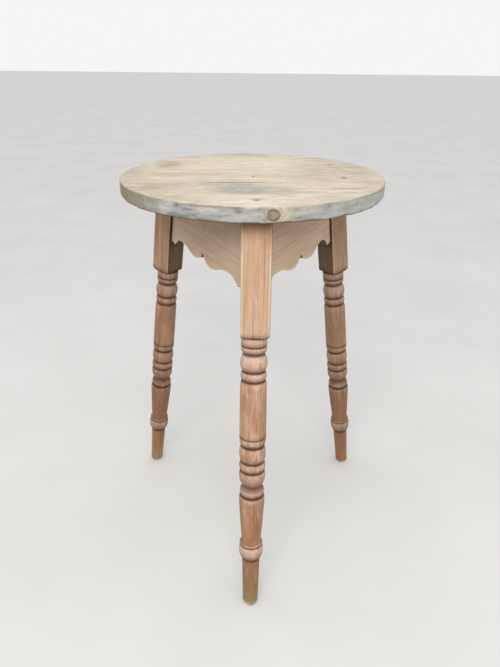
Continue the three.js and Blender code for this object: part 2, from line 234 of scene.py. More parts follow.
def grid_faces(rows, columns, closed=False):
    """Quads over rows of points; closed joins the last column to the first."""
    i = np.arange(rows - 1)[:, None] * columns
    j = np.arange(columns if closed else columns - 1)[None, :]
    k = (j + 1) % columns
    return np.stack([i + j, i + k, i + columns + k, i + columns + j], -1).reshape(-1, 4).tolist()


def dense(values, centre, reach, step):
    """The values with extra ones every step within reach of the centre."""
    near = np.arange(centre - reach, centre + reach + step / 2, step)
    far = values[(values < near[0] - step / 2) | (values > near[-1] + step / 2)]
    return np.sort(np.concatenate([far, near]))


def hills(patches, x, y):
    """Sum of soft elliptical patches, each given as x, y, two reaches and a strength, lengths in mm."""
    total = np.zeros(len(x))
    for px, py, rx, ry, strength in patches:
        total += strength * np.exp(-(((x / MM - px) / rx) ** 2) - ((y / MM - py) / ry) ** 2)
    return total


def in_world(matrix, points):
    return points @ np.array(matrix.to_3x3()).T + np.array(matrix.translation)


SHARP_ANGLE = math.radians(38)


def make_piece(name, mesh, attributes, material):
    for key, values in attributes.items():
        values = np.asarray(values, dtype=np.float32)
        kind = "FLOAT_VECTOR" if values.ndim == 2 else "FLOAT"
        layer = mesh.attributes.new(key, kind, "POINT")
        layer.data.foreach_set("vector" if values.ndim == 2 else "value", values.ravel())
    mesh.materials.append(material)
    mesh.shade_smooth()
    mesh.set_sharp_from_angle(angle=SHARP_ANGLE)
    piece = bpy.data.objects.new(name, mesh)
    bpy.context.scene.collection.objects.link(piece)
    return piece


def make_mesh(name, points, faces, attributes, material):
    mesh = bpy.data.meshes.new(name)
    mesh.from_pydata(points.tolist(), [], faces)
    mesh.validate()
    return make_piece(name, mesh, attributes, material)


def seat(piece, node):
    """The piece stands for a node of the solids, which it hides, and hangs under the root body."""
    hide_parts(node)
    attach(piece, "root")


# Materials


def shade(colour, share):
    return tuple(min(share * c, 0.85) for c in colour)


class Graph:
    """A tree of shader nodes, with inputs given as values or as other nodes' outputs."""

    def __init__(self, tree):
        self.tree = tree

    def node(self, kind, inputs=None, **settings):
        made = self.tree.nodes.new(kind)
        for key, value in settings.items():
            setattr(made, key, value)
        for key, value in (inputs or {}).items():
            self.set(made.inputs[key], value)
        return made

    def set(self, socket, value):
        if isinstance(value, bpy.types.NodeSocket):
            self.tree.links.new(value, socket)
        else:
            socket.default_value = value

    def math(self, operation, a, b=0.0, c=0.0, clamp=False):
        made = self.node("ShaderNodeMath", {0: a, 1: b, 2: c}, operation=operation, use_clamp=clamp)
        return made.outputs[0]

    def times(self, *values):
        total = values[0]
        for value in values[1:]:
            total = self.math("MULTIPLY", total, value)
        return total

    def plus(self, *values):
        total = values[0]
        for value in values[1:]:
            total = self.math("ADD", total, value)
        return total

    def vector(self, operation, a, b=(0, 0, 0), c=(0, 0, 0)):
        made = self.node("ShaderNodeVectorMath", {0: a, 1: b, 2: c}, operation=operation)
        return made.outputs["Value" if operation == "LENGTH" else "Vector"]

    def separate(self, vector, axis):
        return self.node("ShaderNodeSeparateXYZ", {0: vector}).outputs[axis]

    def noise(self, vector, stretch, detail=3, roughness=0.55, offset=(0, 0, 0)):
        """Noise with this many waves to the metre along each axis."""
        place = self.vector("MULTIPLY_ADD", vector, stretch, offset)
        inputs = {"Vector": place, "Scale": 1, "Detail": detail, "Roughness": roughness}
        return self.node("ShaderNodeTexNoise", inputs).outputs["Fac"]

    def range(self, value, low, high, to_low=0.0, to_high=1.0):
        inputs = {"Value": value, "From Min": low, "From Max": high, "To Min": to_low, "To Max": to_high}
        return self.node("ShaderNodeMapRange", inputs, interpolation_type="SMOOTHSTEP").outputs[0]

    def ramp(self, value, stops):
        made = self.node("ShaderNodeValToRGB", {"Fac": value})
        elements = made.color_ramp.elements
        while len(elements) < len(stops):
            elements.new(0.5)
        for element, (place, colour) in zip(elements, stops):
            element.position = place
            element.color = (*colour, 1)
        return made.outputs["Color"]

    def mix(self, share, a, b, blend="MIX"):
        made = self.node("ShaderNodeMix", data_type="RGBA", blend_type=blend)
        self.set(made.inputs["Factor"], share)
        for socket, value in ((made.inputs[6], a), (made.inputs[7], b)):
            self.set(socket, (*value, 1) if isinstance(value, tuple) else value)
        return made.outputs[2]

    def layers(self, colour, rows):
        """The colour with tones laid over it in turn. Each row is how much a tone covers and the tone.
        The first is a share, or a value, the two places between which it is read and the most it covers."""
        for share, tone in rows:
            if isinstance(share, tuple):
                value, low, high, most = share
                share = self.range(value, low, high, 0.0, most)
            colour = self.mix(share, colour, tone)
        return colour

    def attribute(self, name, output="Fac"):
        return self.node("ShaderNodeAttribute", attribute_name=name).outputs[output]


class Material(Graph):
    def __init__(self, name):
        self.material = bpy.data.materials.new(name)
        self.material.use_nodes = True
        super().__init__(self.material.node_tree)
        self.shader = next(n for n in self.tree.nodes if n.type == "BSDF_PRINCIPLED")

    def finish(self, colour, roughness, height, depth, specular=0.3):
        self.set(self.shader.inputs["Base Color"], colour)
        self.set(self.shader.inputs["Roughness"], roughness)
        self.shader.inputs["Specular IOR Level"].default_value = specular
        bump = self.node("ShaderNodeBump", {"Strength": 1.0, "Distance": depth, "Height": height})
        self.set(self.shader.inputs["Normal"], bump.outputs["Normal"])
        return self.material


def growth_rings(g, place, pith, spacing, waviness, bend=0.0):
    """Share of the way through a growth ring, 0 to 1, around a pith line along z."""
    low = g.noise(place, (9, 9, 2.2), 2)
    fine = g.noise(place, (60, 60, 5), 2)
    flat = g.vector("MULTIPLY", g.vector("SUBTRACT", place, pith), (1, 1, 0))
    radius = g.times(g.vector("LENGTH", flat), 1 / spacing)
    radius = g.math("MULTIPLY_ADD", low, waviness, radius)
    radius = g.math("MULTIPLY_ADD", fine, 0.6, radius)
    return g.math("FRACT", g.plus(radius, bend))


# Knots on the face of the top: x, y and radius in mm from the middle of the table, and how pale
TOP_KNOTS = [(1, -20, 2.6, 0.0), (151, -24, 4.2, 0.1)]
# Knots on the front of its rim: x, z and radius in mm, and how pale
RIM_KNOTS = [(27, -13.5, 8.2, 1.0)]
RIM_KNOT_FRONT = -0.5 * TOP_RADIUS


def knots(g, table):
    """Shares for the knots: their cores, the dark skin round them, how pale they are, how they bend
    the rings."""
    core, skin, pale, bend = 0.0, 0.0, 0.0, 0.0
    rough = g.noise(table, (160, 160, 160), 2)
    on_front = g.math("LESS_THAN", g.separate(table, "Y"), RIM_KNOT_FRONT)
    rows = [((x, y, 0), (1, 1, 1.5), radius, paleness, 1.0) for x, y, radius, paleness in TOP_KNOTS]
    rows += [((x, 0, z), (1, 0, 1), radius, paleness, on_front) for x, z, radius, paleness in RIM_KNOTS]
    for centre, keep, radius, paleness, here in rows:
        away = g.vector("SUBTRACT", table, tuple(length * MM for length in centre))
        away = g.vector("MULTIPLY", away, keep)
        away = g.times(g.vector("LENGTH", away), 1 / (radius * MM))
        away = g.plus(away, g.range(rough, 0.3, 0.7, -0.09, 0.09))
        inside = g.times(g.range(away, 1.02, 0.9), here)
        core = g.math("MAXIMUM", core, inside)
        pale = g.math("MAXIMUM", pale, g.times(inside, paleness))
        band = g.times(g.range(away, 0.8, 0.98), g.range(away, 1.18, 1.02), here)
        skin = g.math("MAXIMUM", skin, band)
        near = g.math("EXPONENT", g.times(g.math("POWER", away, 2.0), -0.35))
        bend = g.plus(bend, g.times(near, 2.4, here))
    return core, skin, pale, bend


BOARD_TONE, BOARD_BLOND, BOARD_PALE = (0.555, 0.48, 0.38), (0.64, 0.555, 0.43), (0.69, 0.625, 0.52)
BOARD_BROWN, BOARD_GREY, BOARD_WORN = (0.415, 0.33, 0.24), (0.35, 0.335, 0.295), (0.46, 0.39, 0.28)
BOARD_WARM, BOARD_COOL = (1.03, 0.955, 0.935), (0.93, 0.975, 0.945)
RIM_TONE, RIM_BROWN, RIM_CREAM = (0.4, 0.4, 0.375), (0.275, 0.222, 0.155), (0.58, 0.53, 0.4)
RIM_SILVER = (0.58, 0.612, 0.605)
UNDER_DARK, UNDER_LIGHT, UNDER_LATE = (0.3, 0.205, 0.125), (0.42, 0.3, 0.19), (0.19, 0.115, 0.065)
KNOT_PALE, KNOT_TAN, KNOT_RIPPLE = (0.38, 0.29, 0.19), (0.2, 0.14, 0.085), (0.14, 0.095, 0.055)
KNOT_DARK, KNOT_BLACK, KNOT_SKIN = (0.2, 0.145, 0.09), (0.09, 0.062, 0.038), (0.12, 0.085, 0.055)
BOARD_DIRT = (0.085, 0.062, 0.042)


def board_face(g, place, table, late, fibre, streak, cloud):
    """Cream and beige with grey and brown streaks, along the boards."""
    band = g.noise(place, (48, 48, 6), 5, 0.65)
    stain = g.noise(table, (17, 44, 17), 5, 0.65)
    hue = g.noise(table, (11, 24, 11), 3, 0.6)
    mottle = g.noise(table, (30, 78, 30), 4, 0.7)
    fleck = g.noise(table, (70, 420, 70), 3, 0.6)
    dark, middle = shade(BOARD_TONE, 0.74), shade(BOARD_TONE, 0.97)
    colour = g.ramp(band, [(0.34, dark), (0.46, middle), (0.54, BOARD_TONE), (0.68, BOARD_PALE)])
    breaks = g.plus(g.range(streak, 0.3, 0.66, 0.25, 0.75), g.range(cloud, 0.34, 0.64, 0.0, 0.75))
    tones = {"blond": BOARD_BLOND, "pale": BOARD_PALE, "brown": BOARD_BROWN, "grey": BOARD_GREY}
    for name, tone in tones.items():
        colour = g.mix(g.math("MULTIPLY", g.attribute(name), breaks, clamp=True), colour, tone)
    colour = g.layers(colour, [
        ((stain, 0.52, 0.7, 0.46), BOARD_BROWN),
        ((stain, 0.46, 0.32, 0.38), shade(BOARD_GREY, 1.2)),
        ((cloud, 0.54, 0.7, 0.45), BOARD_PALE),
        ((streak, 0.54, 0.72, 0.5), shade(BOARD_TONE, 0.64)),
        ((streak, 0.46, 0.28, 0.5), shade(BOARD_PALE, 1.07)),
        (g.times(late, g.range(cloud, 0.3, 0.7, 0.1, 0.3)), shade(BOARD_BROWN, 0.95)),
        ((fibre, 0.54, 0.76, 0.3), shade(BOARD_BROWN, 0.85)),
    ])
    colour = g.mix(g.range(hue, 0.5, 0.64, 0.0, 0.8), colour, BOARD_WARM, "MULTIPLY")
    colour = g.mix(g.range(hue, 0.5, 0.36, 0.0, 0.8), colour, BOARD_COOL, "MULTIPLY")
    return g.layers(colour, [
        ((mottle, 0.51, 0.68, 0.46), shade(BOARD_BROWN, 1.05)),
        ((mottle, 0.49, 0.34, 0.42), shade(BOARD_PALE, 1.06)),
        ((fleck, 0.64, 0.78, 0.55), shade(BOARD_BROWN, 0.75)),
        (g.times(g.attribute("wear"), g.range(cloud, 0.38, 0.62, 0.0, 0.75)), BOARD_WORN),
    ])


def board_rim(g, table, bend, late, cloud):
    """Silver grey: level streaks along the boards, upright ones on the end grain at the two sides."""
    level = g.noise(table, (28, 28, 120), 5, 0.65)
    upright = g.noise(table, (12, 170, 16), 4, 0.65)
    speckle = g.noise(table, (190, 190, 90), 4, 0.7)
    along = g.separate(table, "X")
    at_end = g.math("MAXIMUM", g.range(along, -0.11, -0.2), g.range(along, 0.11, 0.2, 0.0, 0.35))
    shares = ((0.34, 0.6), (0.46, 0.96), (0.55, 1.1), (0.68, 1.42))
    colour = g.ramp(level, [(place, shade(RIM_TONE, share)) for place, share in shares])
    return g.layers(colour, [
        (g.times(at_end, g.range(upright, 0.5, 0.68, 0.0, 0.7)), shade(RIM_BROWN, 0.75)),
        (g.times(at_end, g.range(upright, 0.46, 0.32, 0.0, 0.6)), shade(RIM_TONE, 1.25)),
        ((along, 0.09, 0.19, 0.38), RIM_SILVER),
        (g.times(g.attribute("brown"), 0.8), RIM_BROWN),
        (g.attribute("blond"), RIM_CREAM),
        ((cloud, 0.55, 0.7, 0.45), RIM_BROWN),
        ((speckle, 0.56, 0.76, 0.5), shade(RIM_TONE, 0.55)),
        (g.times(g.range(bend, 0.3, 1.2), late, 0.55), shade(RIM_BROWN, 0.85)),
    ])


def knot_heart(g, table, pale_core, bend):
    """Inside a knot: pale ones show their rings, dark ones are nearly black."""
    eye = g.range(g.noise(table, (260, 260, 260)), 0.35, 0.65)
    ripple = g.range(g.math("SINE", g.times(bend, 13.0)), -0.4, 0.9, 0.0, 0.45)
    pale = g.mix(ripple, g.mix(eye, KNOT_TAN, KNOT_PALE), KNOT_RIPPLE)
    return g.mix(pale_core, g.mix(eye, KNOT_BLACK, KNOT_DARK), pale)


def board_material():
    """Bleached, weathered pine, silver grey on the rim. The underside was never bleached."""
    g = Material("board_wood")
    place, table = g.attribute("grain", "Vector"), g.attribute("table", "Vector")
    core, skin, pale_core, bend = knots(g, table)
    ring = growth_rings(g, place, (0.03, -0.075, 0.0), 0.0036, 6.0, bend)
    late = g.times(g.range(ring, 0.45, 0.95), g.range(ring, 1.0, 0.97))
    fibre = g.noise(place, (1100, 1100, 24), 3, 0.65)
    streak = g.noise(place, (150, 150, 7), 4, 0.62)
    cloud = g.noise(table, (26, 40, 26), 5, 0.65, (5, 3, 1))
    under = g.mix(g.range(streak, 0.3, 0.7), UNDER_DARK, UNDER_LIGHT)
    colour = g.layers(board_face(g, place, table, late, fibre, streak, cloud), [
        (g.attribute("rim"), board_rim(g, table, bend, late, cloud)),
        (g.attribute("under"), g.mix(g.times(late, 0.45), under, UNDER_LATE)),
        (g.times(core, 0.85), knot_heart(g, table, pale_core, bend)),
        (g.times(skin, 0.8), KNOT_SKIN),
        (g.attribute("dirt_and_shade"), BOARD_DIRT),
    ])
    height = g.plus(g.times(late, 0.35), g.times(fibre, 0.7), g.times(streak, 0.4), g.times(skin, -1.0))
    return g.finish(colour, g.range(fibre, 0.3, 0.7, 0.62, 0.85), height, 0.0003, 0.25)


LEG_FOOT, LEG_TAPER = (0.28, 0.155, 0.075), (0.35, 0.172, 0.09)
LEG_COLUMN, LEG_BLOCK = (0.465, 0.26, 0.155), (0.575, 0.375, 0.24)
LEG_CHALK, LEG_WORN = (0.67, 0.475, 0.38), (0.78, 0.64, 0.51)
LEG_GRIME, LEG_PAINTED_SHADOW = (0.125, 0.076, 0.031), (0.04, 0.034, 0.016)
LEG_DIRT_AND_SHADE = (0.06, 0.019, 0.007)


def leg_material(leg):
    """Stripped softwood: chalky pink on the high parts, orange brown where bare, dark in the grooves with
    dirt and painted shade.
    """
    g, light = Material(leg["name"] + "_wood"), leg["light"]
    place = g.attribute("grain", "Vector")
    ring = growth_rings(g, place, leg["pith"], 0.0023, 1.0)
    late = g.times(g.range(ring, 0.3, 0.9), g.range(ring, 1.0, 0.95))
    fibre = g.noise(place, (1500, 1500, 55), 3, 0.65)
    streak = g.noise(place, (330, 330, 10), 3, 0.6)
    broad = g.noise(place, (38, 38, 9), 3, 0.6)
    blotch = g.noise(place, (110, 110, 24), 5, 0.68)
    tone = g.plus(g.attribute("tone"), g.range(broad, 0.3, 0.7, -0.2, 0.2))
    # light darkens every tone of a rear leg as a painted shade, and the foot's factor is painted light
    stops = [(0.0, shade(LEG_FOOT, leg["foot_painted_light"]))]
    stops += [(p, shade(c, light)) for p, c in ((0.33, LEG_TAPER), (0.66, LEG_COLUMN), (1.0, LEG_BLOCK))]
    chalky = g.plus(g.attribute("chalk"), g.range(blotch, 0.3, 0.7, -0.42, 0.42))
    grime_and_shadow, dirt_and_shade = g.attribute("grime_and_shadow"), g.attribute("dirt_and_shade")
    colour = g.layers(g.ramp(tone, stops), [
        ((chalky, 0.25, 0.95, 0.82), shade(LEG_CHALK, light)),
        (g.times(late, g.range(streak, 0.38, 0.66, 0.04, 0.4)), shade(LEG_TAPER, 0.66 * light)),
        ((streak, 0.56, 0.74, 0.42), shade(LEG_TAPER, 0.6 * light)),
        ((streak, 0.43, 0.26, 0.38), shade(LEG_CHALK, 1.1 * light)),
        ((fibre, 0.53, 0.76, 0.42), shade(LEG_TAPER, 0.42 * light)),
        (g.times(g.attribute("wear"), g.range(blotch, 0.32, 0.58, 0.25, 1.0)), shade(LEG_WORN, light)),
        # Grime on the inner face of the square, then a painted shadow on it below the aprons
        (g.math("MULTIPLY", grime_and_shadow, g.range(streak, 0.3, 0.7, 0.95, 0.7), clamp=True), LEG_GRIME),
        ((grime_and_shadow, 1.0, 1.7, 0.8), LEG_PAINTED_SHADOW),
        (g.times(g.attribute("foot"), g.range(blotch, 0.34, 0.6, 1.0, 0.15)), leg["foot"]),
        # Painted shadow under the top and painted shade under the beads, with the dirt in the grooves
        (g.times(g.math("POWER", dirt_and_shade, 0.6), 0.45), shade(LEG_TAPER, 0.62 * light)),
        (g.times(dirt_and_shade, g.range(blotch, 0.25, 0.65, 1.0, 0.9)), LEG_DIRT_AND_SHADE),
    ])
    height = g.plus(g.times(late, 0.25), g.times(fibre, 0.8))
    return g.finish(colour, g.range(blotch, 0.3, 0.7, 0.38, 0.55), height, 0.00016, 0.25)


APRON_LOW, APRON_MIDDLE, APRON_HIGH = (0.49, 0.345, 0.245), (0.6, 0.45, 0.335), (0.665, 0.515, 0.395)
APRON_OLIVE, APRON_PINK, APRON_WORN = (0.545, 0.44, 0.285), (0.56, 0.385, 0.3), (0.68, 0.57, 0.42)
APRON_LATE, APRON_FIBRE, APRON_SHADE_AND_DIRT = (0.33, 0.2, 0.12), (0.25, 0.155, 0.095), (0.045, 0.03, 0.019)


def apron_material(apron):
    """Pinkish softwood with a calm level grain, paler where its lower edge is worn."""
    g, light = Material(apron["name"] + "_wood"), apron["light"]
    place = g.attribute("grain", "Vector")
    late = g.range(growth_rings(g, place, (0.02, -0.045, 0.0), 0.0036, 5.0), 0.4, 0.97)
    fibre = g.noise(place, (1200, 1200, 34), 3, 0.65)
    streak = g.noise(place, (130, 130, 9), 4, 0.6)
    broad = g.noise(place, (22, 22, 7), 4)
    patchy = g.noise(place, (34, 34, 15), 4, 0.6)
    stops = [(0.3, APRON_LOW), (0.5, APRON_MIDDLE), (0.7, APRON_HIGH)]
    # light gives lit and shaded copies of the same tones: painted light
    colour = g.layers(g.ramp(streak, [(p, shade(c, light)) for p, c in stops]), [
        ((patchy, 0.5, 0.68, 0.6), shade(APRON_OLIVE, light)),
        ((patchy, 0.48, 0.34, 0.55), shade(APRON_PINK, light)),
        (g.times(late, g.range(broad, 0.38, 0.66, 0.02, 0.2)), APRON_LATE),
        ((fibre, 0.54, 0.78, 0.3), APRON_FIBRE),
        (g.times(g.attribute("wear"), g.range(broad, 0.3, 0.6, 0.4, 0.9)), shade(APRON_WORN, light)),
        # Painted shade under the top, in the notch and in the arches, and the dark round a knot
        (g.attribute("dirt_and_shade"), APRON_SHADE_AND_DIRT),
    ])
    height = g.plus(g.times(late, 0.4), g.times(fibre, 0.8))
    return g.finish(colour, g.range(streak, 0.3, 0.7, 0.58, 0.8), height, 0.00022)


BLOCK_EARLY, BLOCK_LATE = (0.42, 0.3, 0.18), (0.27, 0.17, 0.09)
BLOCK_FIBRE, BLOCK_WORN = (0.16, 0.1, 0.055), (0.52, 0.4, 0.27)


def block_material():
    """Rough sawn offcuts, never finished."""
    g = Material("block_wood")
    place = g.attribute("grain", "Vector")
    late = g.range(growth_rings(g, place, (0.01, -0.03, 0.0), 0.003, 3.0), 0.4, 0.97)
    fibre = g.noise(place, (1000, 1000, 30), 3, 0.65)
    sawn = g.noise(place, (60, 60, 900), 2)
    colour = g.layers(g.mix(g.times(late, 0.5), BLOCK_EARLY, BLOCK_LATE), [
        ((fibre, 0.5, 0.78, 0.45), BLOCK_FIBRE),
        (g.times(g.attribute("wear"), 0.5), BLOCK_WORN),
    ])
    height = g.plus(g.times(late, 0.4), g.times(fibre, 0.8), g.times(sawn, 0.8))
    return g.finish(colour, g.range(fibre, 0.3, 0.7, 0.7, 0.9), height, 0.0003)


def iron_material():
    """Rusted iron under a skin of dust."""
    g = Material("iron")
    rust = g.noise(g.attribute("grain", "Vector"), (700, 700, 700), 4)
    stops = [(0.35, (0.13, 0.098, 0.07)), (0.55, (0.225, 0.165, 0.115)), (0.75, (0.31, 0.225, 0.15))]
    return g.finish(g.ramp(rust, stops), g.range(rust, 0.3, 0.7, 0.55, 0.85), rust, 0.0002)


# Legs


def placed(axes, origin):
    """4x4 matrix of a frame with these axes and its origin given from the middle of the table."""
    matrix = Matrix(axes).transposed().to_4x4()
    matrix.translation = Vector(origin) + Vector(TABLE_AXIS)
    return matrix


def leg_frame(leg):
    """Frame of a leg: origin where its axis meets the floor, z up the axis, x out of its outer face."""
    top_angle = math.radians(leg["azimuth"] + leg["top_swing"])
    foot_angle = math.radians(leg["azimuth"] + leg["foot_swing"])
    top = Vector((math.cos(top_angle) * LEG_RADIUS, math.sin(top_angle) * LEG_RADIUS, UNDERSIDE))
    foot = Vector((math.cos(foot_angle) * FOOT_RADIUS, math.sin(foot_angle) * FOOT_RADIUS, 0))
    axis = (top - foot).normalized()
    middle = (top_angle + foot_angle) / 2
    outward = Vector((math.cos(middle), math.sin(middle), 0))
    outward = (outward - axis * outward.dot(axis)).normalized()
    outward.rotate(Matrix.Rotation(math.radians(leg["twist"]), 3, axis))
    return placed((outward, axis.cross(outward), axis), foot)


PROFILE_STEP = 0.15 * MM
POLISH = 0.22 * MM  # how far handling has rounded the turning over
PROUD_REACH = 1.1 * MM  # a ring stands proud of what lies this near
# The most that the profile runs on or turns, in radians, from one ring of points to the next
RING_LENGTH, RING_TURN = 3 * MM, 0.2


def smoothed(values, sigma):
    """A row of values averaged with its neighbours, with its ends held."""
    reach = int(math.ceil(3.2 * sigma / PROFILE_STEP))
    weights = np.exp(-0.5 * (np.arange(-reach, reach + 1) * PROFILE_STEP / sigma) ** 2)
    padded = np.concatenate([np.repeat(values[:1], reach), values, np.repeat(values[-1:], reach)])
    return np.convolve(padded, weights / weights.sum(), "valid")


def turned_profile():
    """Radius and height up the turning, closer together where it curves, and how far it stands proud."""
    points = [np.array([TURNING_SHARES[0][1] * TURNING_WIDTH / 2, 0.0])]
    for height, width, swell in TURNING_SHARES[1:]:
        end = (width * TURNING_WIDTH / 2, height * TURNED_LENGTH)
        points += run(points[-1], end, swell * TURNING_WIDTH, 16)
    points = np.array(points)
    length = np.append(0, np.cumsum(np.linalg.norm(np.diff(points, axis=0), axis=1)))
    even = np.arange(0, length[-1], PROFILE_STEP)
    radius, height = (smoothed(np.interp(even, length, row), POLISH) for row in points.T)
    slope = np.gradient(radius), np.gradient(height)
    heading = np.unwrap(np.arctan2(slope[1], slope[0]))
    total = np.cumsum(np.hypot(*slope) / RING_LENGTH + np.abs(np.gradient(heading)) / RING_TURN)
    places = np.linspace(0, total[-1], int(total[-1]) + 1)
    proud = radius - smoothed(radius, PROUD_REACH)
    return [np.interp(places, total, row) for row in (radius, height, proud)]


def square_radius(angles, arris, offset):
    """Distance from the turning's axis to the rounded square's surface at each angle, and how far
    that point is into the square's rounded edge."""
    centre_x = (OUTER_DEPTH - INNER_DEPTH) / 2
    half_x, half_y = (OUTER_DEPTH + INNER_DEPTH) / 2, LEG_WIDTH / 2
    low, high = np.zeros(angles.shape), np.full(angles.shape, LEG_WIDTH)
    for _ in range(28):
        middle = (low + high) / 2
        qx = np.abs(middle * np.cos(angles) - centre_x) - half_x + arris
        qy = np.abs(middle * np.sin(angles) - offset) - half_y + arris
        outside = np.hypot(np.maximum(qx, 0), np.maximum(qy, 0)) + np.minimum(np.maximum(qx, qy), 0) - arris
        low, high = np.where(outside < 0, middle, low), np.where(outside < 0, high, middle)
    return (low + high) / 2, np.minimum(qx, qy)


SIDES = 104
LEDGE_SHARES = [0.15, 0.5, 0.85, 1.0]
# The ends are made level over these lengths
FOOT_TRIM, HEAD_TRIM = 12 * MM, SQUARE_LENGTH - 20 * MM


def leg_rings(angles, offset, seed):
    """Radius and height of the rings of points up a leg, and how worn they are."""
    radius, height, proud = turned_profile()
    rows = list(zip(radius, height, fade(0.1, 0.45, proud)))

    # Ledge under the square, then the square with its corners turned off at the bottom
    collar = radius[-1]
    at_ledge = np.minimum(square_radius(angles, LEG_ARRIS, offset)[0], SHOULDER_RADIUS)
    rows += [(collar + (at_ledge - collar) * share, TURNED_LENGTH, 0.0) for share in LEDGE_SHARES]
    rises = [[0.25], np.arange(0.6, 8, 0.75), np.arange(9, SQUARE_LENGTH / MM - 1, 2.4)]
    for rise in np.append(np.concatenate(rises) * MM, SQUARE_LENGTH):
        height = TURNED_LENGTH + rise
        cells = np.stack([3 * np.cos(angles), 3 * np.sin(angles), np.full(SIDES, height * 40)], 1)
        uneven = 1 + 0.3 * wobble(cells, 1.0, seed) + 0.25 * wobble(cells, 4.0, seed + 3)
        # The arris towards the front left is worn most
        arris = LEG_ARRIS * uneven * (1 + 0.3 * np.cos(angles + math.pi / 4))
        outline, into_edge = square_radius(angles, arris, offset)
        outline = np.minimum(outline, SHOULDER_RADIUS + rise) - 0.5 * MM * fade(0.8, 0, rise)
        rows.append((outline, height, 0.85 * fade(-0.15, 0.5, into_edge)))
    return [np.array([np.broadcast_to(value, SIDES) for value in column]) for column in zip(*rows)]


def tube_faces(rows, sides):
    """Quads round a tube, and fans to the two points that come after its own, one at each end."""
    faces = grid_faces(rows, sides, closed=True)
    first, last = rows * sides, (rows - 1) * sides
    for j in range(sides):
        k = (j + 1) % sides
        faces += [[first, k, j], [first + 1, last + j, last + k]]
    return faces


def leg_dirt_and_shade(share, below_top):
    """Painted shadow under the top, painted shade under the beads, and dirt with painted shade in the
    grooves of the turning.
    """
    # The head of the leg darkens towards the top: a painted shadow of the top
    dirt_and_shade = 0.42 * fade(36, 0, below_top)
    for place, reach, strength in GROOVES:
        away = (share - place) * TURNED_LENGTH / (GROOVE_REACH * reach)
        dirt_and_shade = np.maximum(dirt_and_shade, strength * np.exp(-np.abs(away) ** 3))
        # A painted shade that thins out on the underside of the bead above
        dirt_and_shade = np.maximum(dirt_and_shade, UNDER_BEAD_SHADE * strength * np.exp(-((away / 2.8) ** 2)) * (away > 0))
    return dirt_and_shade


def make_leg(leg, seed):
    matrix = leg_frame(leg)
    even = np.arange(SIDES) * 2 * math.pi / SIDES
    angles = even + 0.16 * np.sin(4 * even)  # closer together at the corners of the square
    radius, height, wear = leg_rings(angles, leg["offset_share"] * LEG_WIDTH, seed)
    x, y = radius * np.cos(angles), radius * np.sin(angles)

    # Small unevenness of a piece turned and worn by hand
    cells = np.stack([x / 0.03, y / 0.03, height / 0.05], -1).reshape(-1, 3)
    broad = wobble(cells, 1.0, seed + 11).reshape(x.shape)
    small = wobble(cells, 5.0, seed + 23).reshape(x.shape)
    shrink = 1 - UNEVEN * (1 + broad + (1 + small) / 2) / radius
    x, y = x * shrink, y * shrink

    # The foot ends on the floor and the head under the top, both level
    up = np.array(matrix.to_3x3())[2]
    slant = (up[0] * x + up[1] * y) / up[2]
    head = (UNDERSIDE - GAP) / up[2]
    height = height - slant * np.clip(1 - height / FOOT_TRIM, 0, 1)
    head_share = np.clip((height - LEG_LENGTH) / HEAD_TRIM + 1, 0, 1)
    height = height + (head - slant - LEG_LENGTH) * head_share

    local = np.stack([x, y, height], -1).reshape(-1, 3)
    local = np.concatenate([local, [[0, 0, 0], [0, 0, head]]])
    world = in_world(matrix, local)
    share = local[:, 2] / TURNED_LENGTH
    below_apron = UNDERSIDE - APRON_DEPTH - world[:, 2]
    # The inner face of the square was never stripped clean; below the aprons it also takes a painted shadow
    grime_and_shadow = fade(1.2, 0.3, local[:, 0] + INNER_DEPTH) * smoothstep(1.0, 1.004, share)
    attributes = {
        "grain": local + np.array([seed * 0.31, seed * 0.17, seed * 1.7]),
        "wear": np.append(wear.ravel(), [0, 0]),
        "dirt_and_shade": leg_dirt_and_shade(share, UNDERSIDE - world[:, 2]),
        "foot": smoothstep(0.085, 0.025, share),
        "chalk": leg["chalk"] * np.interp(share, *zip(*CHALK)),
        "tone": np.interp(share, *zip(*TONE_AND_HEAD_SHADE)),
        "grime_and_shadow": grime_and_shadow * (1 + 0.7 * fade(20, -3, below_apron)),
    }
    faces = tube_faces(len(radius), SIDES)
    piece = make_mesh(leg["name"] + "_turned", world, faces, attributes, leg_material(leg))
    seat(piece, leg["name"])


# Aprons

# Half the length of an apron's outer face at its lower edge
HALF_SPAN = (
    INNER_FACE + APRON_DEPTH * LEAN_SLOPE
    - (APRON_SETBACK + APRON_DEPTH * math.tan(APRON_TILT)) * math.cos(HALF_PITCH)
) / math.sin(HALF_PITCH)


def apron_frame(azimuth):
    """Frame of an apron: x along it, y up its outer face, z out of that face."""
    angle = math.radians(azimuth)
    level = Vector((math.cos(angle), math.sin(angle), 0))
    along = Vector((-level.y, level.x, 0))
    outward = level * math.cos(APRON_TILT) + Vector((0, 0, math.sin(APRON_TILT)))
    origin = level * APRON_SETBACK + Vector((0, 0, UNDERSIDE))
    return placed((along, outward.cross(along), outward), origin)


def apron_half(shares):
    """x and depth of the lower edge from the middle of an apron to one end."""
    points = [np.array([0.0, NOTCH_TOP])]
    for along, down, swell in shares:
        points += run(points[-1], (along * HALF_SPAN, down * APRON_DEPTH), -swell * APRON_DEPTH, 18)
    last = points[-1][0]
    for share in (0.25, 0.5, 0.75, 1.0):
        depth = APRON_DEPTH * (1 - TOOTH_RISE_SHARE * share)
        points.append(np.array([last + (HALF_SPAN - last) * share, depth]))
    return np.array(points)


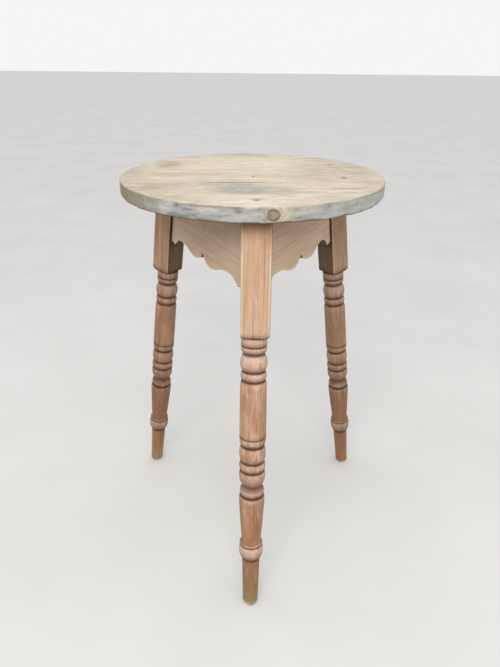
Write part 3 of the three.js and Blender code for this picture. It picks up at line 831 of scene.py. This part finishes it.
def apron_section():
    """Round the section, down the front face, under the lower edge and up the back face: the share
    of the way down, how far below that, and how far out."""
    arris, back = APRON_ARRIS, -APRON_THICKNESS
    quarter = [(arris * math.sin(a), arris * (1 - math.cos(a))) for a in np.radians([22.5, 45, 67.5, 90])]
    section = [(row, 0.0, 0.0) for row in np.linspace(0, 1, 40)]
    section += [(1.0, below, -inset) for below, inset in quarter]
    section.append((1.0, arris, back / 2))
    section += [(1.0, below, back + inset) for below, inset in quarter[::-1]]
    return section + [(row, 0.0, back) for row in [1.0, *np.linspace(1, 0, 40)[1:]]]


def meet_legs(matrix, points):
    """The ends of an apron follow the inner faces of its two legs."""
    for leg in LEGS:
        into = matrix.inverted() @ leg_frame(leg)
        normal = -np.array(into.col[0][:3])
        face = np.array(into.translation) + normal * (INNER_DEPTH + GAP)
        nominal = math.copysign(HALF_SPAN, face[0])
        # The leg opposite faces the apron squarely and is passed over
        if abs(normal[0]) > 0.3:
            off = normal[1] * (points[..., 1] - face[1]) + normal[2] * (points[..., 2] - face[2])
            end = face[0] - off / normal[0]
            points[..., 0] += smoothstep(0.62, 1.0, points[..., 0] / nominal) * (end - nominal)


def apron_marks(apron, flat, depth):
    """How worn an apron is, and how dark with painted shade and round its knots, where its lower edge is
    this deep.
    """
    x, y, z = flat.T
    wear = fade(4.5, 0.3, np.abs(y + depth))
    # Painted shadow of the top over the upper part of the face
    dirt_and_shade = 0.22 * fade(34, 0, -y)
    # Painted shade at the top of the notch
    dirt_and_shade = np.maximum(dirt_and_shade, 0.95 * fade(2.6, 1.4, np.hypot(x, y + NOTCH_TOP)))
    # Painted shade on the sawn thickness in the notch and in the last arches
    inside = 0.3 * APRON_ARRIS
    sawn = (z < -inside) * (z > inside - APRON_THICKNESS)
    across = np.abs(x)
    in_arch = smoothstep(0.6, 0.66, across / HALF_SPAN) * smoothstep(0.94, 0.9, across / HALF_SPAN)
    dirt_and_shade = np.maximum(dirt_and_shade, sawn * np.maximum(fade(2.5, 0, across - NOTCH_HALF), 0.86 * in_arch))
    for knot_x, knot_y, radius in apron["knots"]:
        away = np.hypot(x / MM - knot_x, y / MM - knot_y) / radius
        dirt_and_shade = np.maximum(dirt_and_shade, 0.34 * np.exp(-(away ** 2)) * (z > -APRON_THICKNESS / 2))
    return wear, dirt_and_shade


def make_apron(apron, seed):
    matrix = apron_frame(apron["azimuth"])
    left, right = (apron_half(APRON_EDGE_SHARES[edge]) for edge in apron["edges"])
    along, depth = np.concatenate([left[:0:-1] * [-1, 1], right]).T
    section, count = apron_section(), len(along)
    rows = len(section)
    points = np.zeros((rows, count, 3))
    for i, (row, below, out) in enumerate(section):
        top = (-GAP - out * math.sin(APRON_TILT)) / math.cos(APRON_TILT)
        up = top + (APRON_ARRIS - depth - top) * row - below
        points[i] = np.stack([along, up, np.full(count, out)], 1)
    meet_legs(matrix, points)
    flat = points.reshape(-1, 3)
    inward = np.where(flat[:, 2] > -APRON_THICKNESS / 2, -1.0, 1.0)
    flat[:, 2] += inward * UNEVEN * (1 + wobble(flat / 0.045, 1.0, seed))

    # Top and the two ends, from the front face across to the back face
    back = (rows - 1) * count
    faces = grid_faces(rows, count)
    faces += [[back + j, back + j + 1, j + 1, j] for j in range(count - 1)]
    faces += [list(range(0, back + 1, count)), list(range(back + count - 1, 0, -count))]
    wear, dirt_and_shade = apron_marks(apron, flat, np.tile(depth, rows))
    grain = flat[:, [1, 2, 0]] + np.array([seed * 0.23, 0, seed * 1.3])
    attributes = {"grain": grain, "wear": wear, "dirt_and_shade": dirt_and_shade}
    world, material = in_world(matrix, flat), apron_material(apron)
    piece = make_mesh(apron["name"] + "_board", world, faces, attributes, material)
    seat(piece, apron["name"])


# Top

BOARD_TURN = math.radians(2)
JOINT_SETBACK = 67 * MM
JOINT_INSET = 0.16 * MM
TOP_ARRIS = 1.4 * MM
# The joint stands open between these places along it
OPEN_FROM, OPEN_TO = -82 * MM, 26 * MM
# A split in the front board runs in from its right end, along the grain
SPLIT_ACROSS, SPLIT_FROM, SPLIT_TO = -110.3 * MM, 108 * MM, 128 * MM


def nail_place(leg):
    """Name of the nail over a leg, its x and y from the middle of the table, and how dirty its edge is."""
    angle = math.radians(leg["azimuth"] + leg["top_swing"] + leg["nail_swing"])
    out = LEG_RADIUS + OUTER_DEPTH - leg["nail_edge"] * MM
    name = leg["name"].replace("leg_", "nail_")
    return name, out * math.cos(angle), out * math.sin(angle), leg["nail_dirt"]


NAILS = [nail_place(leg) for leg in LEGS]
# Soft patches of tone on the top: x, y, reach along and across, strength
GREY_PATCHES = [
    (-14, -111, 44, 32, 1.25), (-8, -127, 26, 14, 1.0), (44, -128, 20, 16, 1.0), (-50, -83, 26, 14, 0.5),
    (4, -111, 7, 20, 0.6), (-4, -83, 20, 8, 0.6), (105, -25, 32, 22, 0.55), (100, 27, 34, 30, 0.45),
    (172, 11, 26, 24, 0.5), (175, 105, 14, 22, 0.6), (-20, 209, 70, 14, 0.75), (-120, 171, 34, 18, 0.6),
    (-205, 33, 16, 60, 0.55), (150, 143, 40, 10, 0.4), (-178, 123, 16, 26, 0.45), (-75, -5, 60, 14, 0.28),
    (96, -165, 26, 12, 0.35),
]
BROWN_PATCHES = [
    (-162, -111, 34, 28, 1.05), (-120, -82, 50, 10, 0.5), (-203, -27, 22, 70, 0.7), (-148, 81, 20, 26, 2.0),
    (-158, 105, 10, 12, 0.6), (196, 48, 18, 50, 0.35), (142, 95, 10, 14, 1.2), (155, 63, 8, 34, 0.6),
    (-105, -167, 60, 14, 0.6), (185, -69, 30, 26, 0.45), (3, -180, 10, 6, 0.8), (-140, 1, 80, 12, 0.35),
    (150, -24, 12, 12, 0.7), (90, -197, 50, 10, 0.45), (-168, 33, 14, 40, 0.35), (-25, 63, 12, 10, 0.3),
]
BLOND_PATCHES = [
    (-85, 55, 60, 26, 1.1), (-60, 93, 80, 24, 0.7), (-20, 143, 60, 26, 0.55), (75, -85, 40, 24, 0.7),
    (45, -55, 70, 7, 0.6), (15, -210, 24, 8, 1.0), (70, -197, 30, 8, 0.9), (160, 81, 8, 14, 0.6),
    (-40, 88, 14, 30, 0.5),
]
PALE_PATCHES = [
    (-62, -167, 46, 12, 0.95), (5, -193, 80, 12, 0.9), (-5, -157, 34, 9, 0.95), (78, -155, 26, 16, 0.85),
    (42, 89, 44, 54, 0.55), (-10, 17, 80, 12, 0.45), (20, -93, 30, 6, 0.45), (-120, -31, 60, 12, 0.45),
    (120, -125, 50, 14, 0.45), (-95, 143, 40, 18, 0.5), (60, 143, 60, 20, 0.45), (-2, -40, 90, 6, 0.5),
]
# The same on the rim: a cream patch, and brown lines under the arris
RIM_CREAM_PATCHES = [(40, -216, 16, 12, 1.0)]
RIM_LINES = [
    (-75, -205, 38, 40, 1.0), (-22, -216, 9, 12, 1.2), (180, -120, 30, 50, 0.9), (-190, -100, 25, 45, 0.6),
]
# Dark smears on the front of the rim: x, z, reach along and up, strength
RIM_SMEARS = [
    (-21, -8, 5.0, 3.0, 0.6), (103, -7, 2.6, 2.0, 0.6), (-108, -6, 2.6, 2.6, 0.65),
    (-60, -17, 7.0, 1.8, 0.25), (62, -18, 9.0, 2.0, 0.25), (150, -10, 3.0, 1.8, 0.35),
]


def open_share(x):
    return fade(0, 9, x - OPEN_FROM) * fade(0, -9, x - OPEN_TO)


def dense_rows(angles, across, reach, step):
    """Rows closer together near a place across the top, with the reach and the step in mm."""
    place = math.asin(across / (TOP_RADIUS - TOP_ARRIS))
    slope = (TOP_RADIUS - TOP_ARRIS) * math.cos(place)
    return dense(angles, place, reach * MM / slope, step * MM / slope)


def board_rows(side, joint):
    """Angles of the rows of a board from its joint to its pole, closer together where there is detail."""
    radius = TOP_RADIUS - TOP_ARRIS
    pole = side * math.pi / 2
    start = math.asin((joint + side * UNEVEN) / radius)
    low, high = min(start, pole), max(start, pole)
    angles = dense(np.linspace(low, high, 74 if side > 0 else 50), side * 1.44, 0.12, 0.0062)
    for _, x, y, _ in NAILS:
        across = (y * math.cos(BOARD_TURN) - x * math.sin(BOARD_TURN)) / TOP_ACROSS_SHARE
        if (across - joint) * side > 0:
            angles = dense_rows(angles, across, 7, 0.8)
    if side < 0:
        angles = dense_rows(angles, SPLIT_ACROSS / TOP_ACROSS_SHARE, 3, 0.4)
    near_joint = start + side * np.array([0.3, 0.8, 1.6]) * MM / (radius * math.cos(start))
    angles = np.unique(np.round(np.append(angles, near_joint), 6))
    angles = np.concatenate([[low], angles[(angles > low) & (angles < high)], [high]])
    return angles if side > 0 else angles[::-1]


def board_shares():
    """Places of the columns as shares of each row's half length."""
    shares = dense(np.linspace(-1, 1, 103), 0.02, 0.06, 0.006)
    for centre in (-0.738, 0.738):
        shares = dense(shares, centre, 0.036, 0.004)
    ends = 1 - np.array([0.6, 1.4, 2.6, 4.0]) * MM / TOP_RADIUS
    shares = shares[np.abs(shares) < ends[-1] - 0.004]
    return np.sort(np.concatenate([shares, ends, -ends, [-1, 1]]))


def board_mesh(side, joint):
    """Points and faces of a board with its edges rounded over, x along its joint and z up from its face."""
    angles, columns = board_rows(side, joint), board_shares()
    start, pole = angles[0], angles[-1]

    def outline(angle, share, back):
        """A point at a share across the row at an angle, with the rim and the joint edge cut back."""
        radius = TOP_RADIUS - TOP_ARRIS * back
        opened = 1 + 6.0 * open_share(share * radius * np.cos(start))
        base = np.arcsin((joint + side * JOINT_INSET * back * opened) / radius)
        turned = base + (angle - start) / (pole - start) * (pole - base)
        return np.stack([share * radius * np.cos(turned), radius * np.sin(turned)], -1)

    rows, count = len(angles) - 1, len(columns)
    inner = outline(*np.meshgrid(angles[:-1], columns, indexing="ij"), 1.0).reshape(-1, 2)
    plan = np.concatenate([inner, outline(pole, 0.0, 1.0)[None]])
    size, last = len(plan), (rows - 1) * count
    face = grid_faces(rows, count) + [[last + j, last + j + 1, size - 1] for j in range(count - 1)]

    # Loop round the board: along the joint, up the right end, over the pole and down the left end
    loop = [(0, j) for j in range(count)] + [(i, count - 1) for i in range(1, rows)]
    loop += [(i, 0) for i in range(rows, 0, -1)]
    row, column = np.array(loop).T
    index, around = (row * count + column).tolist(), len(loop)
    at, share = angles[row], columns[column]
    opened = 0.25 + 0.75 * open_share(share * TOP_RADIUS * math.cos(start))
    drop = np.where(row == 0, opened, 1.0)

    # The edge from the face down: how far it is cut back, as a share, and how deep it is
    curve = [(1 - math.sin(a), TOP_ARRIS * (1 - math.cos(a))) for a in np.radians([30, 60, 90])]
    profile = [(back, down * drop) for back, down in curve]
    profile += [(0.0, down) for down in np.linspace(TOP_ARRIS, THICKNESS - TOP_ARRIS, 16)[1:-1]]
    profile += [(back, THICKNESS - down) for back, down in curve[::-1]]
    levels = [np.c_[plan, np.zeros(size)]]
    for back, down in profile:
        levels.append(np.c_[outline(at, share, back), np.broadcast_to(-down, around)])
    levels.append(np.c_[plan, np.full(size, -THICKNESS)])

    bottom = size + len(profile) * around
    rings = [list(range(first, first + around)) for first in range(size, bottom, around)]
    rings = [index] + rings + [[bottom + j for j in index]]
    faces = list(face)
    for upper, lower in zip(rings[:-1], rings[1:]):
        for j in range(around):
            k = (j + 1) % around
            faces.append([upper[k], upper[j], lower[j], lower[k]])
    faces += [[bottom + v for v in reversed(f)] for f in face]
    return np.concatenate(levels), faces if side > 0 else [f[::-1] for f in faces]


def chip_rim(x, y, z, top_depth, rim_depth, outward, coarse, fine):
    """Chips and wear along the upper and lower edges of the rim."""
    for depth, strength, way in ((top_depth, 1.0, -1), (THICKNESS - top_depth, 1.3, 1)):
        chip = (0.7 + 0.9 * coarse + 1.3 * np.maximum(fine, 0.1)).clip(0.1, None) * strength * MM
        near = (chip * 2.2 - rim_depth).clip(0, None) * (chip * 2.2 - depth).clip(0, None) / (chip * 4.4)
        x -= near * outward[:, 0] * 0.8
        y -= near * outward[:, 1] * 0.8
        z += near * way * 0.8


def open_split(side, x, y, z, on_top):
    """Sinks the split in the front board and gives the dirt in it."""
    split = smoothstep(SPLIT_FROM, SPLIT_TO, x) * (1 - 0.75 * fade(150, 175, x)) * (side < 0)
    away = np.abs(y - SPLIT_ACROSS - 0.7 * MM * wobble_along(x, 0.012, 47))
    z -= on_top * fade(1.1, 0.2, away / (0.3 + 0.7 * split)) * np.sqrt(split) * 2.2 * MM
    return 0.9 * on_top * fade(2.2, 0.6, away) * np.sqrt(split)


def sink_nails(z, tx, ty, on_top):
    """Sinks a dimple round each nail's head and gives the dirt in it."""
    dirt_and_shade = np.zeros(len(z))
    for _, nail_x, nail_y, dark in NAILS:
        away = np.hypot(tx - nail_x, ty - nail_y)
        z -= on_top * 1.1 * MM * fade(5.6, 4.6, away)
        dirt_and_shade = np.maximum(dirt_and_shade, dark * on_top * fade(6.2, 4.8, away))
    return dirt_and_shade


def edge_dirt(x, y, z, tx, ty, top_depth, rim_depth):
    """Dirt along the joint and in smears on the front of the rim, and darker along the rim's lower edge."""
    opened = open_share(x)
    reach = (0.8 + 1.3 * opened + 0.4 * wobble_along(x, 0.01, 53)) * MM
    strength = 0.3 + 0.62 * opened + 0.25 * fade(50, 120, x)
    dirt_and_shade = strength * smoothstep(reach, 0.3 * reach, y)
    # Darker along the lower edge of the rim
    dirt_and_shade = np.maximum(dirt_and_shade, 0.45 * fade(2.2, 0.4, THICKNESS - top_depth) * fade(4, 1, rim_depth))
    for smear_x, smear_z, wide, tall, strength in RIM_SMEARS:
        here = ((tx / MM - smear_x) / wide) ** 2 + ((z / MM - smear_z) / tall) ** 2
        dirt_and_shade = np.maximum(dirt_and_shade, strength * np.exp(-here) * (ty < 0) * (rim_depth < 4 * MM))
    return dirt_and_shade


def make_board(name, side, material):
    """A board of the top, side -1 in front of the joint and 1 behind it: laid out round, then shrunk."""
    joint = side * GAP / 2 - JOINT_SETBACK
    points, faces = board_mesh(side, joint / TOP_ACROSS_SHARE)
    x, y, z = points.T.copy()
    out = np.hypot(x, y)
    top_depth, rim_depth = -z, TOP_RADIUS - out
    outward = np.stack([x / out.clip(1e-6), y / out.clip(1e-6), 0 * x], 1)
    y *= TOP_ACROSS_SHARE
    grain = np.stack([y, z, x], 1) + np.array([0, 0, 0.6 * side])
    c, s = math.cos(BOARD_TURN), math.sin(BOARD_TURN)
    tx, ty = x * c - y * s, x * s + y * c

    coarse, fine = wobble(outward * 9, 1.0, 31), wobble(outward * 55, 1.0, 37)
    chip_rim(x, y, z, top_depth, rim_depth, outward, coarse, fine)
    on_top = fade(2.5, 0.5, top_depth)
    z -= on_top * 0.1 * MM * (1 + wobble(np.stack([x / 0.12, y / 0.03, 0 * x], 1), 1.0, 43))
    dirt_and_shade = np.maximum(open_split(side, x, y, z, on_top), sink_nails(z, tx, ty, on_top))
    # Knots stand a little proud on the rim inside a fine groove
    for knot_x, knot_z, radius, _ in RIM_KNOTS:
        away = np.hypot(tx / MM - knot_x, z / MM - knot_z) / radius
        groove = np.exp(-(((away - 1) / 0.12) ** 2)) * (ty < -0.3 * TOP_RADIUS) * (rim_depth < 1.5 * MM)
        y += groove * 0.5 * MM
    dirt_and_shade = np.maximum(dirt_and_shade, edge_dirt(x, np.abs(y - joint), z, tx, ty, top_depth, rim_depth))

    rim = fade(0.9, 2, top_depth) * fade(6, 2, rim_depth)
    under_arris = fade(1.2, 2.4, top_depth) * fade(6.5, 3, top_depth)
    lined = np.maximum(hills(RIM_LINES, tx, ty), 0.25 * (fine + 0.3))
    rim_brown = smoothstep(-0.52, -0.9, tx / TOP_RADIUS) + 0.25 * (coarse > 0.3)
    brown = np.where(rim > 0.5, np.maximum(rim_brown, under_arris * lined), hills(BROWN_PATCHES, tx, ty))
    attributes = {
        "grain": grain,
        "table": np.stack([tx, ty, -top_depth], 1),
        "rim": rim,
        "under": fade(1.2, 0.3, THICKNESS - top_depth),
        "dirt_and_shade": dirt_and_shade,
        "wear": fade(2.4, 0.6, rim_depth + top_depth),
        "grey": hills(GREY_PATCHES, tx, ty),
        "brown": brown,
        "blond": np.where(rim > 0.5, hills(RIM_CREAM_PATCHES, tx, ty), hills(BLOND_PATCHES, tx, ty)),
        "pale": hills(PALE_PATCHES, tx, ty),
    }
    world = np.stack([x * c - y * s, x * s + y * c, z + TABLE_HEIGHT], 1) + TABLE_AXIS
    seat(make_mesh(name + "_plank", world, faces, attributes, material), name)


# Nails and glue blocks

# Down a nail: shares of its head's or its shank's radius, and depths in mm
HEAD_ROWS = [(0.15, 0.1), (0.55, 0.02), (0.86, 0.12), (1.0, 0.45), (1.0, 0.9), (0.8, 1.5)]
SHANK_ROWS = [(1.0, 2.4), (1.0, 30), (1.0, 53), (0.55, 58), (0.1, 61.7)]


def make_nail(name, x, y, seed, material):
    """A hand-made nail: an uneven flat head, a square shank and a point."""
    sides = 24
    angles = np.arange(sides) * 2 * math.pi / sides
    across, along = np.cos(angles), np.sin(angles)
    head = NAIL_HEAD * (0.93 + 0.06 * wobble(np.stack([across, along, 0 * angles], 1), 1.6, seed))
    shank = NAIL_SHANK / np.maximum(np.abs(across), np.abs(along)).clip(1 / 1.3, None)
    rings = [(head * share, down) for share, down in HEAD_ROWS]
    rings += [(shank * share, down) for share, down in SHANK_ROWS]
    points = [np.stack([r * across, r * along, np.full(sides, -down * MM)], 1) for r, down in rings]
    points = np.concatenate(points + [[[0, 0, -UNEVEN], [0, 0, -NAIL_LENGTH]]])
    faces = [f[::-1] for f in tube_faces(len(rings), sides)]
    place = np.array([x, y, TABLE_HEIGHT - NAIL_SINK]) + TABLE_AXIS
    seat(make_mesh(name + "_forged", points + place, faces, {"grain": points}, material), name)


def make_block(node, azimuth, seed, material):
    """The block's own solid with its edges taken off and its faces left a little uneven."""
    mesh = bpy.data.meshes.new(node + "_sawn")
    work = bmesh.new()
    work.from_mesh(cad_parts[node].data)
    bmesh.ops.remove_doubles(work, verts=work.verts, dist=0.01 * MM)
    bmesh.ops.dissolve_limit(work, angle_limit=math.radians(2), verts=work.verts, edges=work.edges)
    bmesh.ops.bevel(work, geom=work.edges[:], offset=0.7 * MM, segments=2, profile=0.6, affect="EDGES")
    bmesh.ops.triangulate(work, faces=work.faces[:])
    for _ in range(4):
        long_edges = [e for e in work.edges if e.calc_length() > 5 * MM]
        bmesh.ops.subdivide_edges(work, edges=long_edges, cuts=1)
        bmesh.ops.triangulate(work, faces=work.faces[:])
    work.normal_update()
    inverse = apron_frame(azimuth).inverted()
    grain, wear = [], []
    for vertex in work.verts:
        place = inverse @ vertex.co
        vertex.co -= vertex.normal * UNEVEN * (1 + noise.noise(place * 90 + Vector((seed, 0, 0))))
        grain.append((place.y + 0.1 * seed, place.z, place.x))
        square = max(abs(n) for n in inverse.to_3x3() @ vertex.normal)
        wear.append(smoothstep(0.985, 0.9, square))
    work.to_mesh(mesh)
    work.free()
    attributes = {"grain": np.array(grain), "wear": np.array(wear)}
    seat(make_piece(node + "_sawn", mesh, attributes, material), node)


# Scene

AMBIENT = 1.0
BACKDROP = 0.92
# Brightness of the sky against the height looked up at: 0 straight down, 0.5 level, 1 straight up
SKY = [
    (0.0, (0.24, 0.2, 0.15)), (0.48, (0.3, 0.265, 0.22)), (0.51, (0.8, 0.8, 0.8)),
    (0.7, (0.92, 0.92, 0.92)), (1.0, (1.22, 1.22, 1.22)),
]
FLOOR_HALF = 30.0
FLOOR_TONES = [(0.3, (0.6, 0.595, 0.585)), (0.7, (0.64, 0.635, 0.625))]


def make_floor():
    corners = np.array([(-1, -1, 0), (1, -1, 0), (1, 1, 0), (-1, 1, 0)]) * FLOOR_HALF
    g = Material("floor")
    cloudy = g.noise(g.node("ShaderNodeTexCoord").outputs["Object"], (3, 3, 3))
    material = g.finish(g.ramp(cloudy, FLOOR_TONES), 1.0, cloudy, 0.0, 0.0)
    floor = make_mesh("floor", corners, [[0, 1, 2, 3]], {}, material)
    # Pale to look at, but it throws little light up under the table, as the dark floor there did
    floor.visible_diffuse = False


def area_light(name, place, aim, size, power, colour):
    data = bpy.data.lights.new(name, "AREA")
    data.shape = "RECTANGLE"
    data.size, data.size_y = size
    data.energy = power
    data.color = colour
    light = bpy.data.objects.new(name, data)
    light.location = place
    light.rotation_mode = "QUATERNION"
    light.rotation_quaternion = (Vector(aim) - Vector(place)).to_track_quat("-Z", "Y")
    bpy.context.scene.collection.objects.link(light)


def light_scene():
    world = bpy.data.worlds.new("studio")
    world.use_nodes = True
    g = Graph(world.node_tree)
    height = g.separate(g.node("ShaderNodeTexCoord").outputs["Generated"], "Z")
    sky = g.ramp(g.math("MULTIPLY_ADD", height, 0.5, 0.5), SKY)
    ambient = g.node("ShaderNodeBackground", {"Color": sky, "Strength": AMBIENT})
    backdrop = g.node("ShaderNodeBackground", {"Color": (1.0, 1.0, 1.0, 1.0), "Strength": BACKDROP})
    rays = g.node("ShaderNodeLightPath").outputs["Is Camera Ray"]
    seen = g.node("ShaderNodeMixShader", {0: rays, 1: ambient.outputs[0], 2: backdrop.outputs[0]})
    g.set(g.tree.nodes["World Output"].inputs["Surface"], seen.outputs[0])
    bpy.context.scene.world = world
    area_light("key", (-0.3, -2.1, 2.1), (0, -0.1, 0.5), (1.8, 1.0), 32, (1.0, 0.985, 0.96))
    area_light("front", (0.3, -3.0, 1.25), (0, 0, 0.45), (4.5, 1.3), 17, (1.0, 0.99, 0.975))
    bpy.context.scene.view_settings.view_transform = "Standard"


# The camera stands where the photograph was taken from
CAMERA_PLACE = (-12.3 * MM, -945 * MM, 906 * MM)
CAMERA_YAW, CAMERA_PITCH, CAMERA_ROLL = (math.radians(v) for v in (0.67, 27.2, 0.63))
FOCAL_PIXELS = 545
FRAME_PIXELS = 667
SENSOR = 36.0


def make_camera():
    yaw, pitch, roll = CAMERA_YAW, CAMERA_PITCH, CAMERA_ROLL
    forward = Vector((math.sin(yaw) * math.cos(pitch), math.cos(yaw) * math.cos(pitch), -math.sin(pitch)))
    level = Vector((math.cos(yaw), -math.sin(yaw), 0))
    right = level * math.cos(roll) + level.cross(forward) * math.sin(roll)
    data = bpy.data.cameras.new("camera")
    data.sensor_width = SENSOR
    data.lens = FOCAL_PIXELS * SENSOR / FRAME_PIXELS
    camera = bpy.data.objects.new("camera", data)
    camera.matrix_world = placed((right, right.cross(forward), -forward), CAMERA_PLACE)
    bpy.context.scene.collection.objects.link(camera)
    bpy.context.scene.camera = camera


make_camera()
light_scene()
make_floor()
for seed, leg in enumerate(LEGS, 1):
    make_leg(leg, seed)
for seed, apron in enumerate(APRONS, 5):
    make_apron(apron, seed)
board_look = board_material()
make_board("top_board_front", -1, board_look)
make_board("top_board_back", 1, board_look)
iron_look = iron_material()
for seed, (name, x, y, _) in enumerate(NAILS, 1):
    make_nail(name, x, y, seed, iron_look)
block_look = block_material()
for seed, apron in enumerate(APRONS, 1):
    for end in ("_1", "_2"):
        make_block(apron["name"].replace("apron_", "glue_block_") + end, apron["azimuth"], seed, block_look)
